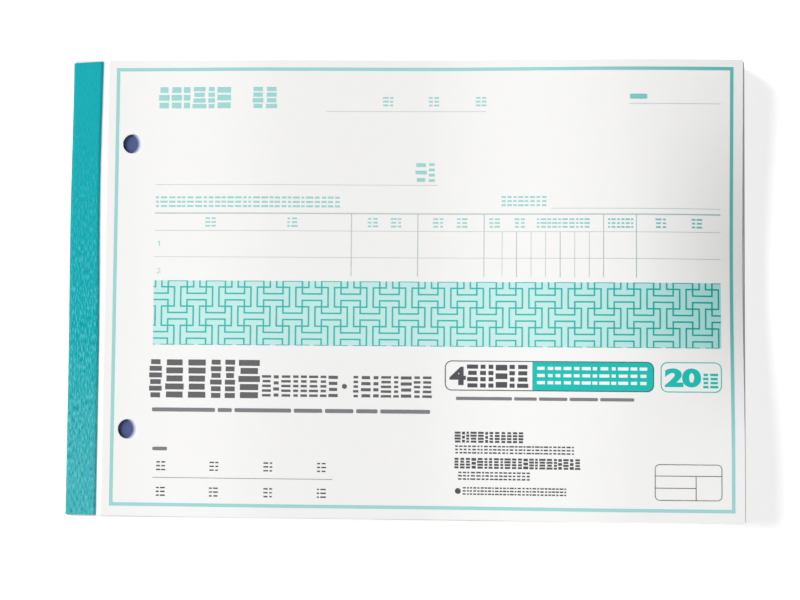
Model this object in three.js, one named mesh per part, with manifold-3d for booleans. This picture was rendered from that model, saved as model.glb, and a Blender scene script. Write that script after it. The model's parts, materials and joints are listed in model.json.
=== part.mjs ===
// A carbonless delivery slip book: twenty sets of four slips bound at the left edge with two wire
// stitches and a cloth tape, between a printed card cover and a back board.
// Millimetres. The book lies on its back: +X from the spine to the free edge, +Y to the head of the
// form, +Z up out of the front cover. The origin is the middle of the underside.

import * as THREE from 'three';
import { mergeVertices } from 'three/addons/utils/BufferGeometryUtils.js';
import Module from 'manifold-3d';

const wasm = await Module();
wasm.setup();

// Overall size of the book
const BOOK_LENGTH = 188;
const BOOK_WIDTH = 128;

// Paper and board
const SHEET_THICKNESS = 0.065;
const SHEET_AIR = 0.005;
const SHEETS_PER_SET = 4;
const SET_COUNT = 20;
const BACK_COVER_THICKNESS = 0.5;
const COVER_THICKNESS = 0.28;
const SHIELD_THICKNESS = 0.35;

// Binding tape
const TAPE_THICKNESS = 0.18;
const TAPE_REACH = 8.5;
const TAPE_END_GAP = 0.3;
const TAPE_CLEARANCE = 0.01;

// The line beside the tape where the slips tear and the cover creases, and the room on each side of it
const TEAR_LINE_FROM_TAPE = 0.6;
const TEAR_CLEARANCE = 0.1;

// Two file holes through cover, slips and back, and how far the cover's pair has crept off the slips' pair
const FILE_HOLE_DIAMETER = 5.5;
const FILE_HOLE_PITCH = 80;
const FILE_HOLE_TOWARD_HEAD = 0.2;
const FILE_HOLE_FROM_SPINE = 15.9;
const COVER_HOLE_CREEP = 1.3;
const FILE_HOLE_SIDES = 16;

// Front cover: margins to the sheets' edges, and the two gentle waves that it stands in when it lies loose
const COVER_FREE_MARGIN = 0.5;
const COVER_SIDE_MARGIN = 0.1;
const INNER_CREST_FROM_SPINE = 58;
const INNER_CREST_RISE = 1.2;
const TROUGH_FROM_SPINE = 100;
const TROUGH_RISE = 1.0;
const OUTER_CREST_FROM_SPINE = 158;
const OUTER_CREST_RISE = 3.0;
const FREE_EDGE_RISE = 1.0;
const COVER_WAVE_STEPS = 40;

// Writing shield
const SHIELD_FREE_MARGIN = 1.0;
const SHIELD_SIDE_MARGIN = 1.0;
const SHIELD_BINDING_CLEARANCE = 1.0;

// Wire stitches
const WIRE_WIDTH = 0.7;
const WIRE_THICKNESS = 0.5;
const WIRE_CLEARANCE = 0.1;
const WIRE_DEPTH_CLEARANCE = 0.03;
const WIRE_BEND_RADIUS = 0.8;
const STITCH_LENGTH = 12;
const STITCH_FROM_SPINE = 4.6;
const STITCH_PITCH = 62;
const STITCH_FOOT_GAP = 2.5;
const BEND_SEGMENTS = 4;

// How far a cutter runs past the face it cuts
const CUT_OVERRUN = 1;

// Heights worked out from the stack, from the table up
const SHEET_PITCH = SHEET_THICKNESS + SHEET_AIR;
const SET_PITCH = SHEETS_PER_SET * SHEET_PITCH;
const SET_THICKNESS = SET_PITCH - SHEET_AIR;
const PAD_BOTTOM = BACK_COVER_THICKNESS + SHEET_AIR;
const PAD_TOP = PAD_BOTTOM + (SET_COUNT - 1) * SET_PITCH;
const SLIPS_BOTTOM = PAD_TOP + SHIELD_THICKNESS + SHEET_AIR;
const COVER_BOTTOM = SLIPS_BOTTOM + SET_PITCH;
const STRIP_BOTTOM = PAD_TOP + SET_PITCH;
const STRIP_TOP = STRIP_BOTTOM + COVER_THICKNESS;
const TAPE_UNDERSIDE = STRIP_TOP + SHEET_AIR;
const TAPE_TOP = TAPE_UNDERSIDE + TAPE_THICKNESS;
const TAPE_REBATE = TAPE_THICKNESS + TAPE_CLEARANCE;
const CROWN_TOP = STRIP_TOP - WIRE_DEPTH_CLEARANCE;
const FOOT_BOTTOM = TAPE_REBATE + WIRE_DEPTH_CLEARANCE;

// Places along the book, from the outside of the spine
const TEAR_LINE = TAPE_REACH + TEAR_LINE_FROM_TAPE;
const SHEET_START = TAPE_THICKNESS + TAPE_CLEARANCE;
const STUB_END = TEAR_LINE - TEAR_CLEARANCE;
const LEAF_START = TEAR_LINE + TEAR_CLEARANCE;
const COVER_END = BOOK_LENGTH - COVER_FREE_MARGIN;

const COLOURS = {
  card: { color: 0xf4f3f0, roughness: 0.7, metalness: 0 },
  board: { color: 0xd9d2c4, roughness: 0.85, metalness: 0 },
  paper: { color: 0xf1f3f2, roughness: 0.8, metalness: 0 },
  tape: { color: 0x1fadb4, roughness: 0.75, metalness: 0 },
  shield: { color: 0x506198, roughness: 0.6, metalness: 0 },
  wire: { color: 0xb9bcc0, roughness: 0.3, metalness: 1 },
};

const book = new THREE.Group();

function addMesh(name, geometry, finish) {
  const mesh = new THREE.Mesh(geometry, new THREE.MeshStandardMaterial(COLOURS[finish]));
  mesh.name = name;
  book.add(mesh);
}

// Distance from the spine turned into a place on the book's own axis
function fromSpine(distance) {
  return distance - BOOK_LENGTH / 2;
}

function toSolid(geometry) {
  const bare = geometry.index ? geometry.toNonIndexed() : geometry.clone();
  bare.deleteAttribute('normal');
  bare.deleteAttribute('uv');
  const merged = mergeVertices(bare, 1e-5);
  const mesh = new wasm.Mesh({
    numProp: 3,
    vertProperties: Float32Array.from(merged.attributes.position.array),
    triVerts: Uint32Array.from(merged.index.array),
  });
  return new wasm.Manifold(mesh);
}

function toGeometry(solid) {
  const mesh = solid.getMesh();
  const geometry = new THREE.BufferGeometry();
  geometry.setAttribute('position', new THREE.BufferAttribute(mesh.vertProperties, 3));
  geometry.setIndex(new THREE.BufferAttribute(mesh.triVerts, 1));
  geometry.computeVertexNormals();
  return geometry;
}

function roundHole(x, y, diameter) {
  const corners = [];
  for (let i = 0; i < FILE_HOLE_SIDES; i += 1) {
    const angle = (2 * Math.PI * i) / FILE_HOLE_SIDES;
    corners.push(new THREE.Vector2(x + (diameter / 2) * Math.cos(angle), y + (diameter / 2) * Math.sin(angle)));
  }
  return new THREE.Path(corners.reverse());
}

function slotHole(x, y, length, width) {
  return new THREE.Path([
    new THREE.Vector2(x - width / 2, y - length / 2),
    new THREE.Vector2(x - width / 2, y + length / 2),
    new THREE.Vector2(x + width / 2, y + length / 2),
    new THREE.Vector2(x + width / 2, y - length / 2),
  ]);
}

// Flat sheet between two distances from the spine, with holes right through it
function sheet(start, end, width, bottom, thickness, holes) {
  const shape = new THREE.Shape([
    new THREE.Vector2(fromSpine(start), -width / 2),
    new THREE.Vector2(fromSpine(end), -width / 2),
    new THREE.Vector2(fromSpine(end), width / 2),
    new THREE.Vector2(fromSpine(start), width / 2),
  ]);
  shape.holes.push(...holes);
  const geometry = new THREE.ExtrudeGeometry(shape, { depth: thickness, bevelEnabled: false });
  geometry.translate(0, 0, bottom);
  return geometry;
}

// A side outline, drawn in X and Z, run across the book
function acrossBook(outline, width) {
  const geometry = new THREE.ExtrudeGeometry(outline, { depth: width, bevelEnabled: false });
  geometry.rotateX(Math.PI / 2);
  geometry.translate(0, width / 2, 0);
  return geometry;
}

function fileHolePlace(side) {
  return (side * FILE_HOLE_PITCH) / 2 + FILE_HOLE_TOWARD_HEAD;
}

function fileHoles(creep = 0) {
  const x = fromSpine(FILE_HOLE_FROM_SPINE + creep);
  return [-1, 1].map((side) => roundHole(x, fileHolePlace(side), FILE_HOLE_DIAMETER));
}

// Square holes for the four wire legs, through the sheets between crown and clinch
function legHoles() {
  const holes = [];
  const legOffset = (STITCH_LENGTH - WIRE_THICKNESS) / 2;
  const along = WIRE_THICKNESS + 2 * WIRE_CLEARANCE;
  const across = WIRE_WIDTH + 2 * WIRE_CLEARANCE;
  for (const stitch of [-1, 1]) {
    for (const leg of [-1, 1]) {
      const y = (stitch * STITCH_PITCH) / 2 + leg * legOffset;
      holes.push(slotHole(fromSpine(STITCH_FROM_SPINE), y, along, across));
    }
  }
  return holes;
}

// Long slots for the two crowns or clinches, which are pressed into the layers next to the tape
function crownSlots() {
  const along = STITCH_LENGTH + 2 * WIRE_CLEARANCE;
  const across = WIRE_WIDTH + 2 * WIRE_CLEARANCE;
  return [-1, 1].map((side) => slotHole(fromSpine(STITCH_FROM_SPINE), (side * STITCH_PITCH) / 2, along, across));
}

// What the wire needs in one layer of the binding: slots where a crown or a foot lies, or else leg holes
function stitchHoles(bottom, thickness) {
  const reachesCrown = bottom + thickness > CROWN_TOP - WIRE_THICKNESS - WIRE_DEPTH_CLEARANCE;
  const reachesFoot = bottom < FOOT_BOTTOM + WIRE_THICKNESS + WIRE_DEPTH_CLEARANCE;
  return reachesCrown || reachesFoot ? crownSlots() : legHoles();
}

// One layer of the stack over its whole length, or only as far as the tear line
function boundSheet(end, width, bottom, thickness, holes) {
  return sheet(SHEET_START, end, width, bottom, thickness, [...holes, ...stitchHoles(bottom, thickness)]);
}

// Goes from one height to another with a level start and a level end
function levelToLevel(from, to, t) {
  return from + (to - from) * t * t * (3 - 2 * t);
}

// Height of the loose cover over the top slip
function coverRise(distance) {
  if (distance < INNER_CREST_FROM_SPINE) {
    const t = (distance - LEAF_START) / (INNER_CREST_FROM_SPINE - LEAF_START);
    return levelToLevel(0, INNER_CREST_RISE, t);
  }
  if (distance < TROUGH_FROM_SPINE) {
    const t = (distance - INNER_CREST_FROM_SPINE) / (TROUGH_FROM_SPINE - INNER_CREST_FROM_SPINE);
    return levelToLevel(INNER_CREST_RISE, TROUGH_RISE, t);
  }
  if (distance < OUTER_CREST_FROM_SPINE) {
    const t = (distance - TROUGH_FROM_SPINE) / (OUTER_CREST_FROM_SPINE - TROUGH_FROM_SPINE);
    return levelToLevel(TROUGH_RISE, OUTER_CREST_RISE, t);
  }
  const t = (distance - OUTER_CREST_FROM_SPINE) / (COVER_END - OUTER_CREST_FROM_SPINE);
  return OUTER_CREST_RISE + (FREE_EDGE_RISE - OUTER_CREST_RISE) * t * t;
}

function makeFrontCover() {
  const upper = [];
  const lower = [];
  for (let i = 0; i <= COVER_WAVE_STEPS; i += 1) {
    const distance = LEAF_START + ((COVER_END - LEAF_START) * i) / COVER_WAVE_STEPS;
    const bottom = COVER_BOTTOM + coverRise(distance);
    lower.push(new THREE.Vector2(fromSpine(distance), bottom));
    upper.push(new THREE.Vector2(fromSpine(distance), bottom + COVER_THICKNESS));
  }
  const outline = new THREE.Shape([...lower, ...upper.reverse()]);
  let cover = toSolid(acrossBook(outline, BOOK_WIDTH - 2 * COVER_SIDE_MARGIN));
  const punchHeight = INNER_CREST_RISE + COVER_THICKNESS + 2 * CUT_OVERRUN;
  const punchX = fromSpine(FILE_HOLE_FROM_SPINE + COVER_HOLE_CREEP);
  for (const side of [-1, 1]) {
    const punch = new THREE.CylinderGeometry(
      FILE_HOLE_DIAMETER / 2, FILE_HOLE_DIAMETER / 2, punchHeight, FILE_HOLE_SIDES);
    punch.rotateX(Math.PI / 2);
    punch.translate(punchX, fileHolePlace(side), COVER_BOTTOM + punchHeight / 2 - CUT_OVERRUN);
    cover = cover.subtract(toSolid(punch));
  }
  addMesh('front_cover', toGeometry(cover), 'card');
}

function makeFrontCoverStrip() {
  const strip = boundSheet(STUB_END, BOOK_WIDTH - 2 * COVER_SIDE_MARGIN, STRIP_BOTTOM, COVER_THICKNESS, []);
  addMesh('front_cover_strip', strip, 'card');
}

// Tape over the top, round the spine and under the back
function makeBindingTape() {
  const outline = new THREE.Shape([
    new THREE.Vector2(fromSpine(0), 0),
    new THREE.Vector2(fromSpine(TAPE_REACH), 0),
    new THREE.Vector2(fromSpine(TAPE_REACH), TAPE_THICKNESS),
    new THREE.Vector2(fromSpine(TAPE_THICKNESS), TAPE_THICKNESS),
    new THREE.Vector2(fromSpine(TAPE_THICKNESS), TAPE_UNDERSIDE),
    new THREE.Vector2(fromSpine(TAPE_REACH), TAPE_UNDERSIDE),
    new THREE.Vector2(fromSpine(TAPE_REACH), TAPE_TOP),
    new THREE.Vector2(fromSpine(0), TAPE_TOP),
  ]);
  addMesh('binding_tape', acrossBook(outline, BOOK_WIDTH - 2 * TAPE_END_GAP), 'tape');
}

// Back board, thinned along the spine where the tape lies under it
function makeBackCover() {
  const board = toSolid(boundSheet(BOOK_LENGTH, BOOK_WIDTH, 0, BACK_COVER_THICKNESS, fileHoles()));
  const cutterLength = TAPE_REACH + TAPE_CLEARANCE;
  const cutter = new THREE.BoxGeometry(cutterLength, BOOK_WIDTH + 2 * CUT_OVERRUN, 2 * TAPE_REBATE);
  cutter.translate(fromSpine(cutterLength / 2), 0, 0);
  addMesh('back_cover', toGeometry(board.subtract(toSolid(cutter))), 'board');
}

// Sets in use order: set 1 is on top, as single slips, and the last lies on the back board
function makeSlipSets() {
  for (let number = SET_COUNT; number >= 2; number -= 1) {
    const bottom = PAD_BOTTOM + (SET_COUNT - number) * SET_PITCH;
    const block = boundSheet(BOOK_LENGTH, BOOK_WIDTH, bottom, SET_THICKNESS, fileHoles());
    addMesh(`slip_set_${String(number).padStart(2, '0')}`, block, 'paper');
  }
}

function makeFirstSet() {
  for (let number = 1; number <= SHEETS_PER_SET; number += 1) {
    const step = (SHEETS_PER_SET - number) * SHEET_PITCH;
    const leaf = sheet(LEAF_START, BOOK_LENGTH, BOOK_WIDTH, SLIPS_BOTTOM + step, SHEET_THICKNESS, fileHoles());
    addMesh(`slip_${number}`, leaf, 'paper');
    const stub = boundSheet(STUB_END, BOOK_WIDTH, PAD_TOP + step, SHEET_THICKNESS, []);
    addMesh(`slip_stub_${number}`, stub, 'paper');
  }
}

function makeWritingShield() {
  const shield = sheet(
    LEAF_START + SHIELD_BINDING_CLEARANCE, BOOK_LENGTH - SHIELD_FREE_MARGIN,
    BOOK_WIDTH - 2 * SHIELD_SIDE_MARGIN, PAD_TOP, SHIELD_THICKNESS, []);
  addMesh('writing_shield', shield, 'shield');
}

// One flat wire stitch, drawn in Y and Z: crown on top, two legs, and two feet clinched towards each other
function makeStaple(name, centre) {
  const top = CROWN_TOP;
  const bottom = FOOT_BOTTOM;
  const half = STITCH_LENGTH / 2;
  const bend = WIRE_BEND_RADIUS;
  const innerBend = bend - WIRE_THICKNESS;
  const foot = STITCH_FOOT_GAP / 2;
  const right = Math.PI / 2;
  const outline = new THREE.Shape();
  outline.moveTo(foot, bottom);
  outline.lineTo(half - bend, bottom);
  outline.absarc(half - bend, bottom + bend, bend, -right, 0, false);
  outline.lineTo(half, top - bend);
  outline.absarc(half - bend, top - bend, bend, 0, right, false);
  outline.lineTo(-half + bend, top);
  outline.absarc(-half + bend, top - bend, bend, right, 2 * right, false);
  outline.lineTo(-half, bottom + bend);
  outline.absarc(-half + bend, bottom + bend, bend, 2 * right, 3 * right, false);
  outline.lineTo(-foot, bottom);
  outline.lineTo(-foot, bottom + WIRE_THICKNESS);
  outline.lineTo(-half + bend, bottom + WIRE_THICKNESS);
  outline.absarc(-half + bend, bottom + bend, innerBend, 3 * right, 2 * right, true);
  outline.lineTo(-half + WIRE_THICKNESS, top - bend);
  outline.absarc(-half + bend, top - bend, innerBend, 2 * right, right, true);
  outline.lineTo(half - bend, top - WIRE_THICKNESS);
  outline.absarc(half - bend, top - bend, innerBend, right, 0, true);
  outline.lineTo(half - WIRE_THICKNESS, bottom + bend);
  outline.absarc(half - bend, bottom + bend, innerBend, 0, -right, true);
  outline.lineTo(foot, bottom + WIRE_THICKNESS);
  outline.closePath();
  const geometry = new THREE.ExtrudeGeometry(
    outline, { depth: WIRE_WIDTH, bevelEnabled: false, curveSegments: BEND_SEGMENTS });
  geometry.rotateX(right);
  geometry.rotateZ(right);
  geometry.translate(fromSpine(STITCH_FROM_SPINE) - WIRE_WIDTH / 2, centre, 0);
  addMesh(name, geometry, 'wire');
}

makeFrontCover();
makeFrontCoverStrip();
makeBindingTape();
makeBackCover();
makeStaple('staple_upper', STITCH_PITCH / 2);
makeStaple('staple_lower', -STITCH_PITCH / 2);
makeWritingShield();
makeFirstSet();
makeSlipSets();

export default book;
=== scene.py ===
"""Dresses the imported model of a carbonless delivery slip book: cover, print, slips, pad, tape and board.

Lengths in the layout are millimetres, x from the outside of the spine and y from the middle of the book,
and are turned into metres where a mesh is made.
"""

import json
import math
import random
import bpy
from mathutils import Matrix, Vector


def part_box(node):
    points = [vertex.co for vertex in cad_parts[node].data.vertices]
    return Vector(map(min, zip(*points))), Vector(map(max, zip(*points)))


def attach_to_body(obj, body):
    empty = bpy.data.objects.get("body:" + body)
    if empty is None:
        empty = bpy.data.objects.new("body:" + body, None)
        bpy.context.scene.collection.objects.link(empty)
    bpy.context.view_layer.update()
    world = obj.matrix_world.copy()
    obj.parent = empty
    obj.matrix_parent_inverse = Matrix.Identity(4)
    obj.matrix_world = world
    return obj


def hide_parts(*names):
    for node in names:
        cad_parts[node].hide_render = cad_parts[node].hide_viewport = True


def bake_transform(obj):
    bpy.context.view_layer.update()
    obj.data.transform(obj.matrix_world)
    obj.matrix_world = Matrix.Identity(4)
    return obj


bl_info = {
    "name": "Carbonless Slip Book",
    "version": (1, 0, 0),
    "blender": (4, 5, 0),
    "location": "View3D > Sidebar > Slip Book",
    "description": "Makes the paper, print, tape and board of a slip book around its packed model",
    "category": "Object",
}

import bmesh
import bpy
from mathutils import Matrix, Vector

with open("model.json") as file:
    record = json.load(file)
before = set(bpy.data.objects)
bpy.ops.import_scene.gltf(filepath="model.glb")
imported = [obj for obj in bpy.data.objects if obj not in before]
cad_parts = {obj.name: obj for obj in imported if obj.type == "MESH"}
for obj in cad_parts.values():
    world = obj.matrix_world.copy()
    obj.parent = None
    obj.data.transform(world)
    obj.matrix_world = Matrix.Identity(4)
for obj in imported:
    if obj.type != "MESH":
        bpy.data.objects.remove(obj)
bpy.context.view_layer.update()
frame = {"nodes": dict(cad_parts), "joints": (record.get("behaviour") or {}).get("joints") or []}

MM = 0.001

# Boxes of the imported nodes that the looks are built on
COVER_LOW, COVER_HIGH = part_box("front_cover")
STRIP_LOW, STRIP_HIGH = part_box("front_cover_strip")
TAPE_LOW, TAPE_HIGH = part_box("binding_tape")
BOARD_LOW, BOARD_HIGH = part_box("back_cover")
SHIELD_LOW, SHIELD_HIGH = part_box("writing_shield")
SLIP_COUNT = sum(name.startswith("slip_") and name[5:].isdigit() for name in frame["nodes"])
SET_NODES = sorted(name for name in frame["nodes"] if name.startswith("slip_set_"))
HINGE = next(joint for joint in frame["joints"] if joint["name"] == "front_cover_hinge")

SPINE = TAPE_LOW.x
HALF_WIDTH = BOARD_HIGH.y / MM
BOOK_END = (BOARD_HIGH.x - SPINE) / MM
TEAR_LINE = (HINGE["pos_m"][0] - SPINE) / MM
COVER_END = (COVER_HIGH.x - SPINE) / MM
COVER_HALF_WIDTH = COVER_HIGH.y / MM
COVER_THICKNESS = (STRIP_HIGH.z - STRIP_LOW.z) / MM
TAPE_REACH = (TAPE_HIGH.x - SPINE) / MM

# File holes: one pair in the cover, and one in the slips and the board that the cover's pair has crept off
FILE_HOLE_RADIUS = 2.75
FILE_HOLE_HALF_PITCH = 40.0
FILE_HOLES_TOWARD_HEAD = 0.2
COVER_HOLE_PLACE = 17.2
SLIP_HOLE_PLACE = 15.9
# Painted shade round the slips' file holes: how far it reaches and how steeply it fades
HOLE_SHADE_REACH = 1.3
HOLE_SHADE_FALL = 1.5
HOLE_CELL = 4.0
HOLE_CELL_STEP = 1.0

# Every leaf steps up beside the tape, from its stub to its place above the writing shield
STEP_START = 8.7
STEP_END = 10.1
BEND_END = 11.6
STEP_MARKS = (STEP_START, 9.2, 9.6, STEP_END, BEND_END)
STUB_START = 0.5

# The waves of the loose cover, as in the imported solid, and how its free edge differs from head to foot
INNER_CREST = (58.0, 1.2)
TROUGH = (100.0, 1.0)
OUTER_CREST = (158.0, 3.0)
EDGE_FOOT = (-50.0, 2.9)
EDGE_LOWEST = (6.0, 0.02)
EDGE_HEAD = (70.0, 2.3)

# Ink stands proud of the paper by this much, so that no two faces share a plane
COVER_INK_LIFT = 0.02
SLIP_INK_LIFT = 0.006
INK_THICKNESS = 0.003

# Painted shade on the inks, which are darkened towards the head of the cover's free edge: from these places,
# over these lengths
INK_SHADE_FROM = (129.0, -45.0)
INK_SHADE_OVER = (50.0, 35.0)
INK_SHADE_SHARES = (0.38, 0.74, 0.73)

# The cloth tape, which is folded round the spine, pressed down at its cut edge and cut slanting at the head
TAPE_THICKNESS, TAPE_BEND, TAPE_TURN_STEPS, TAPE_STEP = 0.17, 0.35, 6, 0.8
TAPE_PRESSED_WIDTH, TAPE_PRESSED = 0.1, 0.06
TAPE_FRAY, TAPE_HEAD_CUT = 0.03, 0.5

# The tape was laid by hand, narrower and over a bowed spine near the head: centre, reach and shift
TAPE_NARROWED, TAPE_BOWED = (30.0, 50.0, -0.5), (18.0, 40.0, -0.25)

# The tape's weave, and the places between which its painted sheen and its painted highlights and shade on
# streaks grow towards the foot
TAPE_WARP_PITCH, TAPE_WEFT_PITCH = 0.45, 0.55
TAPE_PAINTED_SHEEN, TAPE_PAINTED_STREAKS = (-12.0, -52.0), (48.0, -32.0)

# How strongly a surface mirrors the lamps
CARD_SHEEN = 0.5
PAPER_SHEEN = 0.25
MATT_SHEEN = 0.1

# Edges that turn by more than this many degrees stay sharp
CREASE = 35
ROUND_CORNER_STEPS = 6


def length_property(name, description, default, low, high):
    """A length that is given in millimetres."""
    return bpy.props.FloatProperty(
        name=name, description=description, default=default * MM, min=low * MM, max=high * MM, precision=6,
        unit="LENGTH")


class BookSizes(bpy.types.PropertyGroup):
    """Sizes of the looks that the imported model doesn't hold."""

    sheet_thickness: length_property(
        "Sheet thickness", "Thickness of one carbonless sheet", 0.055, 0.03, 0.065)
    stagger: length_property(
        "Stagger", "How far single sheets stand out of the pad at its free edge", 0.4, 0.0, 1.0)
    border_width: length_property("Border width", "Width of the printed frame on the cover", 0.94, 0.2, 3.0)
    lattice_line: length_property("Lattice line", "Width of the lines of the lattice band", 0.42, 0.1, 1.0)
    perforation_pitch: length_property(
        "Perforation pitch", "Distance between the slits of a tear line", 1.6, 0.5, 5.0)
    skew: bpy.props.FloatProperty(
        name="Skew", description="How far single sheets are turned in the pad", default=math.radians(0.1),
        min=0.0, max=math.radians(0.5), subtype="ANGLE")
    seed: bpy.props.IntProperty(
        name="Seed", description="Seed of the sheets' stagger and of the print's blocks", default=7, min=0)


def colour_property(name, description, default):
    return bpy.props.FloatVectorProperty(
        name=name, description=description, subtype="COLOR", size=3, min=0.0, max=1.0, default=default)


class BookColours(bpy.types.PropertyGroup):
    """Linear colours of the paper, board, tape and inks."""

    card: colour_property("Card", "White card of the front cover", (0.905, 0.900, 0.892))
    paper: colour_property("Paper", "Carbonless paper of the slips", (0.850, 0.858, 0.862))
    board: colour_property("Board", "Back board", (0.560, 0.510, 0.430))
    shield: colour_property("Shield", "Card that lies under the set in use", (0.062, 0.090, 0.270))
    # The drilled rim colour is painted shade: a blue-grey darkening round the slips' file holes
    bruise: colour_property("Drilled rim", "Dye that drilling presses out of paper", (0.130, 0.140, 0.290))
    tape: colour_property("Tape", "Cloth tape round the spine", (0.001, 0.405, 0.455))
    # The faded tape colour is a painted sheen that lightens the tape towards the foot
    tape_faded: colour_property("Faded tape", "Rubbed tape towards the foot", (0.075, 0.450, 0.490))
    # The furrow colour is painted shade in the tape's furrows, and the fleck colour a painted highlight on
    # its raised threads and weave
    tape_furrow: colour_property("Tape furrow", "Dark grain of the tape", (0.000, 0.235, 0.275))
    tape_fleck: colour_property("Tape fleck", "Raised threads that catch the light", (0.110, 0.560, 0.590))
    pale_ink: colour_property("Pale ink", "Frame and words of the form on the cover", (0.325, 0.668, 0.632))
    rule_ink: colour_property("Rule ink", "Fine rules of the form on the cover", (0.500, 0.590, 0.575))
    lattice_ink: colour_property("Lattice ink", "Lines of the lattice band", (0.001, 0.490, 0.445))
    lattice_tint: colour_property("Lattice tint", "Ground of the lattice band", (0.545, 0.820, 0.785))
    badge_ink: colour_property("Badge ink", "Filled half of the long badge", (0.000, 0.510, 0.455))
    heading_ink: colour_property("Heading ink", "Large heading", (0.118, 0.113, 0.120))
    dark_ink: colour_property("Dark ink", "Badge, notes, date lines and number box", (0.074, 0.070, 0.080))
    grey_ink: colour_property("Grey ink", "Captions", (0.205, 0.198, 0.215))


def chosen(context):
    """The sizes and colours that are set in the panel."""
    return context.scene.slip_book_sizes, context.scene.slip_book_colours


def math_node(operation):
    """A method that joins a socket and what stands after it by a Math node."""
    return lambda self, other: self.graph.maths(operation, self, other)


class Wired:
    """A node's output socket on which Python's operators add Math nodes."""

    def __init__(self, graph, socket):
        self.graph = graph
        self.socket = socket

    def __rsub__(self, other):
        return self.graph.maths("SUBTRACT", other, self)

    __add__ = __radd__ = math_node("ADD")
    __sub__ = math_node("SUBTRACT")
    __mul__ = __rmul__ = math_node("MULTIPLY")
    __gt__ = math_node("GREATER_THAN")
    __lt__ = math_node("LESS_THAN")
    __pow__ = math_node("POWER")


class Graph:
    """Adds nodes to a shader or geometry tree and joins them."""

    def __init__(self, tree):
        self.tree = tree

    def node(self, kind, settings=None, inputs=None):
        made = self.tree.nodes.new(kind)
        for key, value in (settings or {}).items():
            setattr(made, key, value)
        for key, value in (inputs or {}).items():
            self.feed(made.inputs[key], value)
        return made

    def feed(self, socket, value):
        if isinstance(value, Wired):
            value = value.socket
        if isinstance(value, bpy.types.NodeSocket):
            self.tree.links.new(value, socket)
        else:
            socket.default_value = value

    def out(self, made, key=0):
        return Wired(self, made.outputs[key])

    def maths(self, operation, first, second=0.0, clamp=False):
        settings = {"operation": operation, "use_clamp": clamp}
        return self.out(self.node("ShaderNodeMath", settings, {0: first, 1: second}))

    def mix(self, factor, first, second):
        """Mixes two colours."""
        made = self.node("ShaderNodeMix", {"data_type": "RGBA"})
        colours = [socket for socket in made.inputs if socket.type == "RGBA"]
        self.feed(made.inputs[0], factor)
        for socket, value in zip(colours, (first, second)):
            self.feed(socket, opaque(value))
        return Wired(self, next(socket for socket in made.outputs if socket.type == "RGBA"))

    def noise(self, vector, scale, detail=2.0, roughness=0.5):
        """Noise from 0 to 1 with this many waves to a metre."""
        made = self.node(
            "ShaderNodeTexNoise", None,
            {"Vector": vector, "Scale": scale, "Detail": detail, "Roughness": roughness})
        return self.out(made, "Fac")

    def scaled(self, vector, factors):
        made = self.node("ShaderNodeVectorMath", {"operation": "MULTIPLY"}, {0: vector, 1: factors})
        return self.out(made)

    def ramp(self, value, start, end):
        """Rises from 0 where the value is start to 1 where it is end."""
        return self.maths("MULTIPLY", value - start, 1.0 / (end - start), clamp=True)

    def across_and_along(self, vector):
        """A vector's X and Y."""
        made = self.node("ShaderNodeSeparateXYZ", None, {0: vector})
        return self.out(made, "X"), self.out(made, "Y")

    def vector(self, **parts):
        return self.out(self.node("ShaderNodeCombineXYZ", None, parts))


def opaque(value):
    """A colour of three numbers as the four that a socket takes."""
    if isinstance(value, (Wired, bpy.types.NodeSocket)):
        return value
    return (*value, 1.0)


def tinted(colour, share, more=0.0):
    """A colour made lighter or darker by a share, and never past white."""
    return tuple(min(1.0, channel * share + more) for channel in colour)


class Look(Graph):
    """The shader tree of a new material."""

    def __init__(self, name):
        self.material = bpy.data.materials.new(name)
        self.material.use_nodes = True
        super().__init__(self.material.node_tree)
        self.shader = self.tree.nodes["Principled BSDF"]

    def coat(self, colour, roughness, sheen, relief=None, depth=0.0):
        """Joins colour, gloss and a relief of so many millimetres to the shader, and gives the material."""
        settings = {"Base Color": colour, "Roughness": roughness, "Specular IOR Level": sheen}
        if depth:
            bump = {"Height": relief, "Distance": depth * MM, "Strength": 1.0}
            settings["Normal"] = self.out(self.node("ShaderNodeBump", None, bump))
        for name, value in settings.items():
            self.feed(self.shader.inputs[name], value)
        return self.material


def own_place(graph):
    """Object coordinates, which stay with a rigid piece as it moves."""
    return graph.out(graph.node("ShaderNodeTexCoord"), "Object")


def sheet_place(graph):
    """A leaf's own map in metres, which stays with the paper where it bends."""
    return graph.out(graph.node("ShaderNodeUVMap", {"uv_map": "sheet"}))


def drilled_rim(graph, vector):
    """How near a point of a sheet lies to the rim of a file hole, from 1 on it to 0 at the reach of the
    painted shade.
    """
    x, y = graph.across_and_along(vector)
    across = x - (SPINE + SLIP_HOLE_PLACE * MM)
    along = graph.maths("ABSOLUTE", y - FILE_HOLES_TOWARD_HEAD * MM) - FILE_HOLE_HALF_PITCH * MM
    distance = graph.maths("SQRT", across * across + along * along)
    near = graph.ramp(distance, (FILE_HOLE_RADIUS + HOLE_SHADE_REACH) * MM, FILE_HOLE_RADIUS * MM)
    return near ** HOLE_SHADE_FALL


def paper_material(name, colour, tooth, gloss, bruise=None):
    """White paper: cloudy formation, fine fibres and a faint tooth, with a blue-grey painted shade round its
    file holes if carbonless.
    """
    graph = Look(name)
    vector = sheet_place(graph)
    cloud = graph.noise(vector, 260.0, 3.0)
    fibre = graph.noise(graph.scaled(vector, (1.0, 2.4, 1.0)), 2600.0, 2.0, 0.6)
    shade = graph.mix(cloud * 0.5 + fibre * 0.5, tinted(colour, 0.965), tinted(colour, 1.012))
    # Blue-grey painted shade round the file holes
    if bruise:
        shade = graph.mix(drilled_rim(graph, vector), shade, bruise)
    return graph.coat(shade, gloss + (fibre - 0.5) * 0.12, PAPER_SHEEN, cloud * 0.4 + fibre * 0.6, tooth)


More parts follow.
